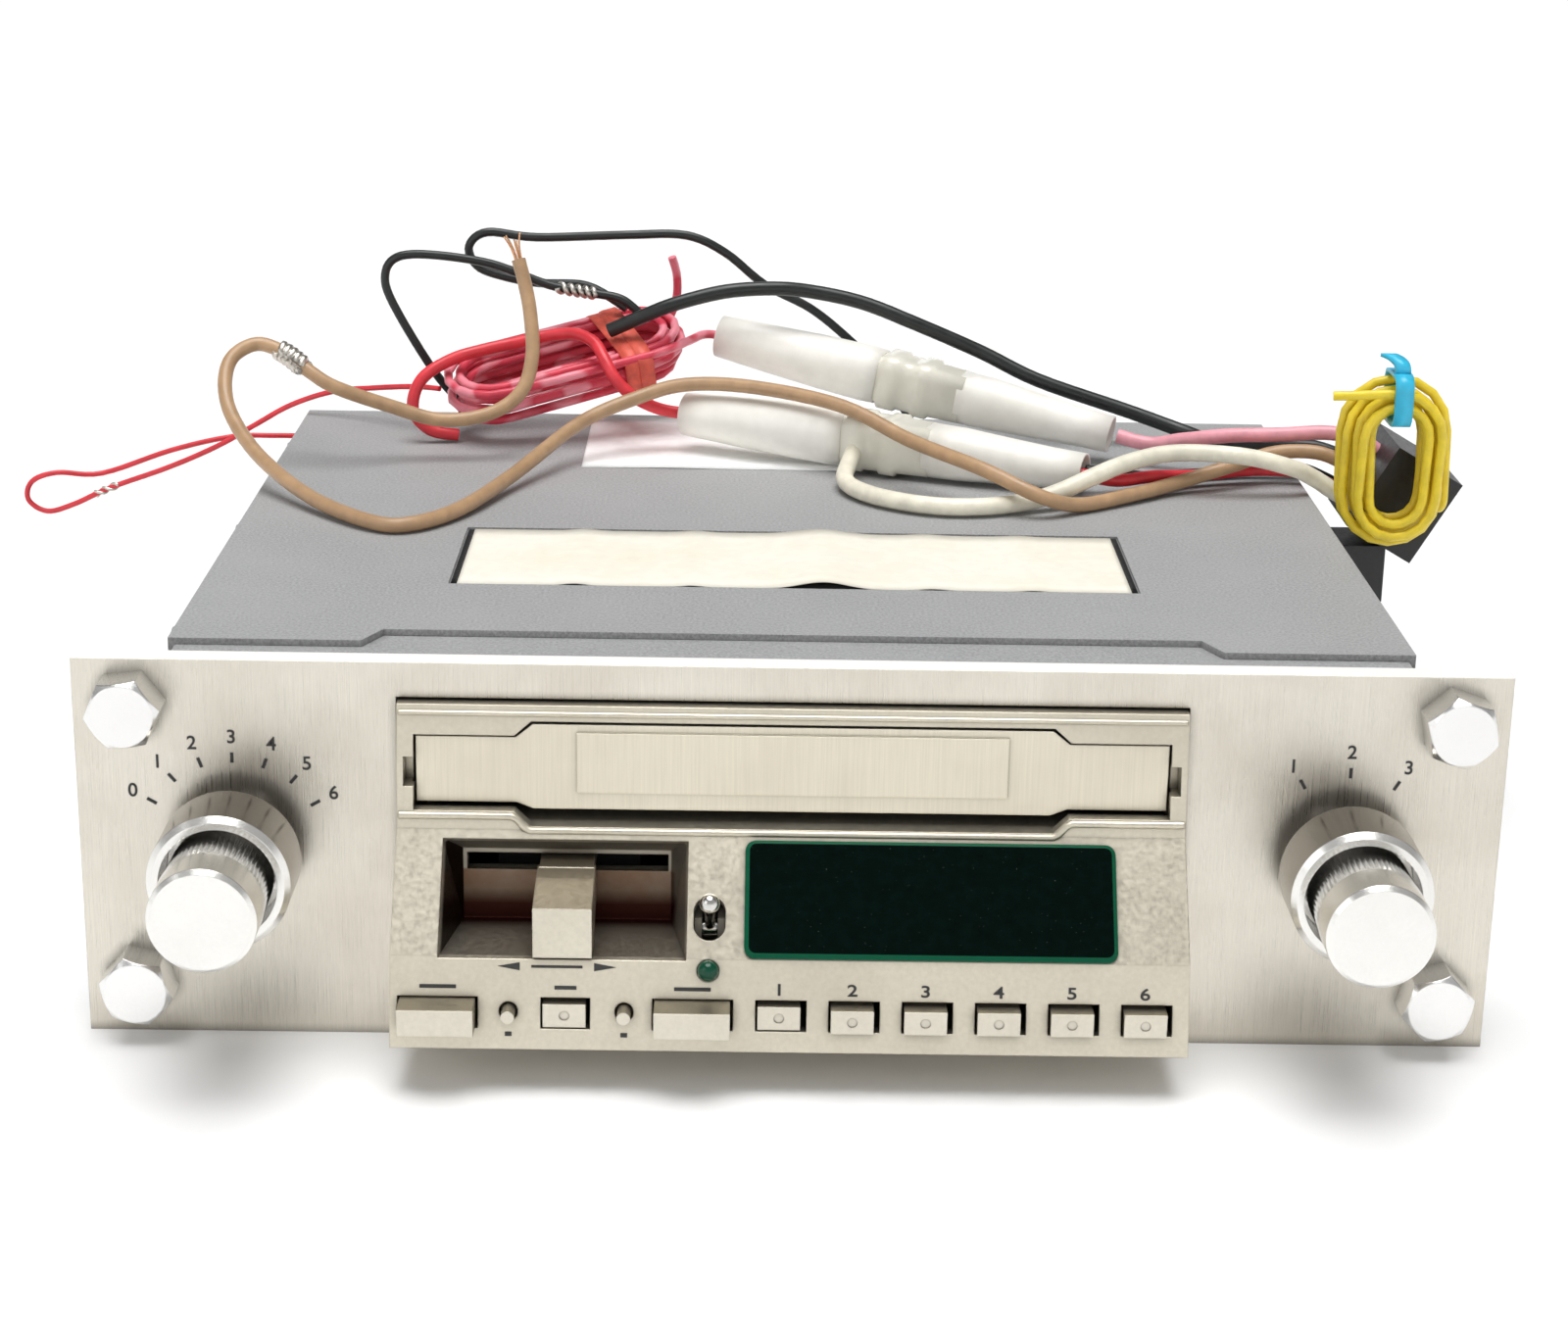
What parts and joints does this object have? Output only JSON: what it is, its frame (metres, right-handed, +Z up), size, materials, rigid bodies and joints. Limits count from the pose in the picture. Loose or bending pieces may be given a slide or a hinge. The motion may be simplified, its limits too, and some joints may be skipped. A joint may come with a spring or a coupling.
{
  "type": "car cassette receiver",
  "caption": "Two-shaft car radio and cassette deck with brushed trim plate, slanted control nose, green display window, tape mechanism and wiring harness.",
  "frame": {"origin": "middle of the base under the receiver without its leads, at the height of its underside", "axes": "+X to the right seen from the front, +Y to the back, +Z up"},
  "size_m": [0.2566, 0.1918, 0.0906],
  "materials": {
    "case_paint": "fine-textured satin paint",
    "screw_steel": "zinc-plated steel",
    "brushed_plate": "vertically brushed",
    "bolt_bright": "bright plated",
    "panel_silver": "silver plated plastic",
    "key_silver": "silver plated plastic",
    "window_green": "smoked green, polished",
    "lens_green": "polished",
    "knob_bright": "turned and polished",
    "toggle_chrome": "polished",
    "board_green": "lacquered board",
    "dark_plastic": "moulded",
    "pulley_brass": "turned",
    "belt_rubber": "matte",
    "wire_brown": "vinyl insulation",
    "wire_black": "vinyl insulation",
    "wire_white": "vinyl insulation",
    "wire_pink": "vinyl insulation",
    "wire_red": "vinyl insulation",
    "wire_yellow": "vinyl insulation",
    "tie_plastic": "vinyl",
    "boot_nylon": "milky nylon"
  },
  "bodies": {
    "case": {"chassis_tray": "case_paint", "top_cover": "case_paint", "rear_panel": "case_paint", "case_screws": "screw_steel", "deck_plate": "screw_steel", "drive_motor": "screw_steel", "volume_control": "screw_steel", "tuning_control": "screw_steel", "shaft_nuts": "screw_steel", "trim_plate": "brushed_plate", "plate_bolts": "bolt_bright", "nosepiece": "panel_silver", "display_window": "window_green", "indicator_lens": "lens_green", "tape_head": "toggle_chrome", "front_board": "board_green", "main_board": "board_green", "harness_socket": "dark_plastic", "drive_belt": "belt_rubber", "brown_lead": "wire_brown", "black_leads": "wire_black", "thin_black_leads": "wire_black", "white_lead": "wire_white", "pink_lead": "wire_pink", "red_leads": "wire_red", "thin_red_lead": "wire_red", "red_hank": "wire_red", "yellow_hank": "wire_yellow", "wire_ties": "tie_plastic", "inline_connectors": "boot_nylon"},
    "door": {"cassette_door": "panel_silver"},
    "carriage": {"lever_carriage": "dark_plastic"},
    "lever": {"transport_lever": "panel_silver"},
    "toggle": {"toggle_lever": "toggle_chrome"},
    "clock": {"clock_button": "key_silver"},
    "hour": {"hour_button": "key_silver"},
    "store": {"store_button": "key_silver"},
    "minute": {"minute_button": "key_silver"},
    "local": {"local_button": "key_silver"},
    "tone": {"tone_ring": "knob_bright"},
    "mode": {"mode_ring": "knob_bright"},
    "balance": {"balance_collar": "screw_steel"},
    "volume": {"volume_knob": "knob_bright", "volume_shaft": "screw_steel"},
    "tuning": {"tuning_knob": "knob_bright", "tuning_shaft": "screw_steel"},
    "carrier": {"cassette_carrier": "screw_steel"},
    "flywheel": {"capstan_flywheel": "screw_steel"},
    "pulley": {"motor_pulley": "pulley_brass"},
    "pinch": {"pinch_arm": "screw_steel"},
    "roller": {"pinch_roller": "belt_rubber"},
    "take_up": {"take_up_spindle": "dark_plastic"},
    "supply": {"supply_spindle": "dark_plastic"},
    "preset_1": {"preset_button_1": "key_silver"},
    "preset_2": {"preset_button_2": "key_silver"},
    "preset_3": {"preset_button_3": "key_silver"},
    "preset_4": {"preset_button_4": "key_silver"},
    "preset_5": {"preset_button_5": "key_silver"},
    "preset_6": {"preset_button_6": "key_silver"}
  },
  "joints": [
    {"name": "door_swing", "type": "hinge", "parent": "case", "child": "door", "pos_m": [0, -0.0687, 0.0473], "axis": [1, 0, 0], "range_deg": [0, 85], "stiffness_Nm_per_rad": 0.001, "springref_deg": -17.19},
    {"name": "lever_shift", "type": "slide", "parent": "case", "child": "carriage", "axis": [1, 0, 0], "range_m": [-0.008, 0.008], "stiffness_N_per_m": 60},
    {"name": "lever_push", "type": "slide", "parent": "carriage", "child": "lever", "axis": [0, 1, 0], "range_m": [0, 0.003], "stiffness_N_per_m": 200, "springref_m": -0.002},
    {"name": "toggle_flip", "type": "hinge", "parent": "case", "child": "toggle", "pos_m": [-0.0112, -0.07643, 0.02057], "axis": [1, 0, 0], "range_deg": [0, 20]},
    {"name": "clock_press", "type": "slide", "parent": "case", "child": "clock", "axis": [0, 1, 0], "range_m": [0, 0.0025], "stiffness_N_per_m": 300, "springref_m": -0.0005},
    {"name": "hour_press", "type": "slide", "parent": "case", "child": "hour", "axis": [0, 1, 0], "range_m": [0, 0.0015], "stiffness_N_per_m": 300, "springref_m": -0.0005},
    {"name": "store_press", "type": "slide", "parent": "case", "child": "store", "axis": [0, 1, 0], "range_m": [0, 0.0012], "stiffness_N_per_m": 300, "springref_m": -0.0005},
    {"name": "minute_press", "type": "slide", "parent": "case", "child": "minute", "axis": [0, 1, 0], "range_m": [0, 0.0015], "stiffness_N_per_m": 300, "springref_m": -0.0005},
    {"name": "local_press", "type": "slide", "parent": "case", "child": "local", "axis": [0, 1, 0], "range_m": [0, 0.0025], "stiffness_N_per_m": 300, "springref_m": -0.0005},
    {"name": "preset_1_press", "type": "slide", "parent": "case", "child": "preset_1", "axis": [0, 1, 0], "range_m": [0, 0.0012], "stiffness_N_per_m": 300, "springref_m": -0.0005},
    {"name": "preset_2_press", "type": "slide", "parent": "case", "child": "preset_2", "axis": [0, 1, 0], "range_m": [0, 0.0018], "stiffness_N_per_m": 300, "springref_m": -0.0005},
    {"name": "preset_3_press", "type": "slide", "parent": "case", "child": "preset_3", "axis": [0, 1, 0], "range_m": [0, 0.0018], "stiffness_N_per_m": 300, "springref_m": -0.0005},
    {"name": "preset_4_press", "type": "slide", "parent": "case", "child": "preset_4", "axis": [0, 1, 0], "range_m": [0, 0.0018], "stiffness_N_per_m": 300, "springref_m": -0.0005},
    {"name": "preset_5_press", "type": "slide", "parent": "case", "child": "preset_5", "axis": [0, 1, 0], "range_m": [0, 0.0018], "stiffness_N_per_m": 300, "springref_m": -0.0005},
    {"name": "preset_6_press", "type": "slide", "parent": "case", "child": "preset_6", "axis": [0, 1, 0], "range_m": [0, 0.0018], "stiffness_N_per_m": 300, "springref_m": -0.0005},
    {"name": "balance_push", "type": "slide", "parent": "case", "child": "balance", "axis": [0, 1, 0], "range_m": [0, 0.002], "stiffness_N_per_m": 300, "springref_m": -0.0005},
    {"name": "volume_turn", "type": "hinge", "parent": "balance", "child": "volume", "pos_m": [-0.0782, -0.0681, 0.0285], "axis": [0, 1, 0], "range_deg": [0, 300]},
    {"name": "tone_turn", "type": "hinge", "parent": "case", "child": "tone", "pos_m": [-0.0782, -0.0681, 0.0285], "axis": [0, 1, 0], "range_deg": [-135, 135]},
    {"name": "tuning_turn", "type": "hinge", "parent": "case", "child": "tuning", "pos_m": [0.0782, -0.0681, 0.0285], "axis": [0, 1, 0], "continuous": true},
    {"name": "mode_turn", "type": "hinge", "parent": "case", "child": "mode", "pos_m": [0.0782, -0.0681, 0.0285], "axis": [0, 1, 0], "range_deg": [-30, 30]},
    {"name": "carrier_drop", "type": "slide", "parent": "case", "child": "carrier", "axis": [0, 0, -1], "range_m": [0, 0.006], "stiffness_N_per_m": 100, "springref_m": -0.01},
    {"name": "flywheel_spin", "type": "hinge", "parent": "case", "child": "flywheel", "pos_m": [0.033, -0.0021, 0.02], "axis": [0, 0, 1], "continuous": true},
    {"name": "pulley_spin", "type": "hinge", "parent": "case", "child": "pulley", "pos_m": [-0.036, 0.0439, 0.02], "axis": [0, 0, 1], "continuous": true},
    {"name": "pinch_swing", "type": "hinge", "parent": "case", "child": "pinch", "pos_m": [0.048, 0.0079, 0.029], "axis": [0, 0, 1], "range_deg": [0, 18.5], "stiffness_Nm_per_rad": 0.02, "springref_deg": -2.86},
    {"name": "roller_spin", "type": "hinge", "parent": "pinch", "child": "roller", "pos_m": [0.033, 0.0094, 0.034], "axis": [0, 0, 1], "continuous": true},
    {"name": "take_up_spin", "type": "hinge", "parent": "case", "child": "take_up", "pos_m": [0.02125, -0.0301, 0.03], "axis": [0, 0, 1], "continuous": true},
    {"name": "supply_spin", "type": "hinge", "parent": "case", "child": "supply", "pos_m": [-0.02125, -0.0301, 0.03], "axis": [0, 0, 1], "continuous": true}
  ],
  "couplings": [
    {"joint": "pulley_spin", "follows": "flywheel_spin", "ratio": 3.5556}
  ]
}
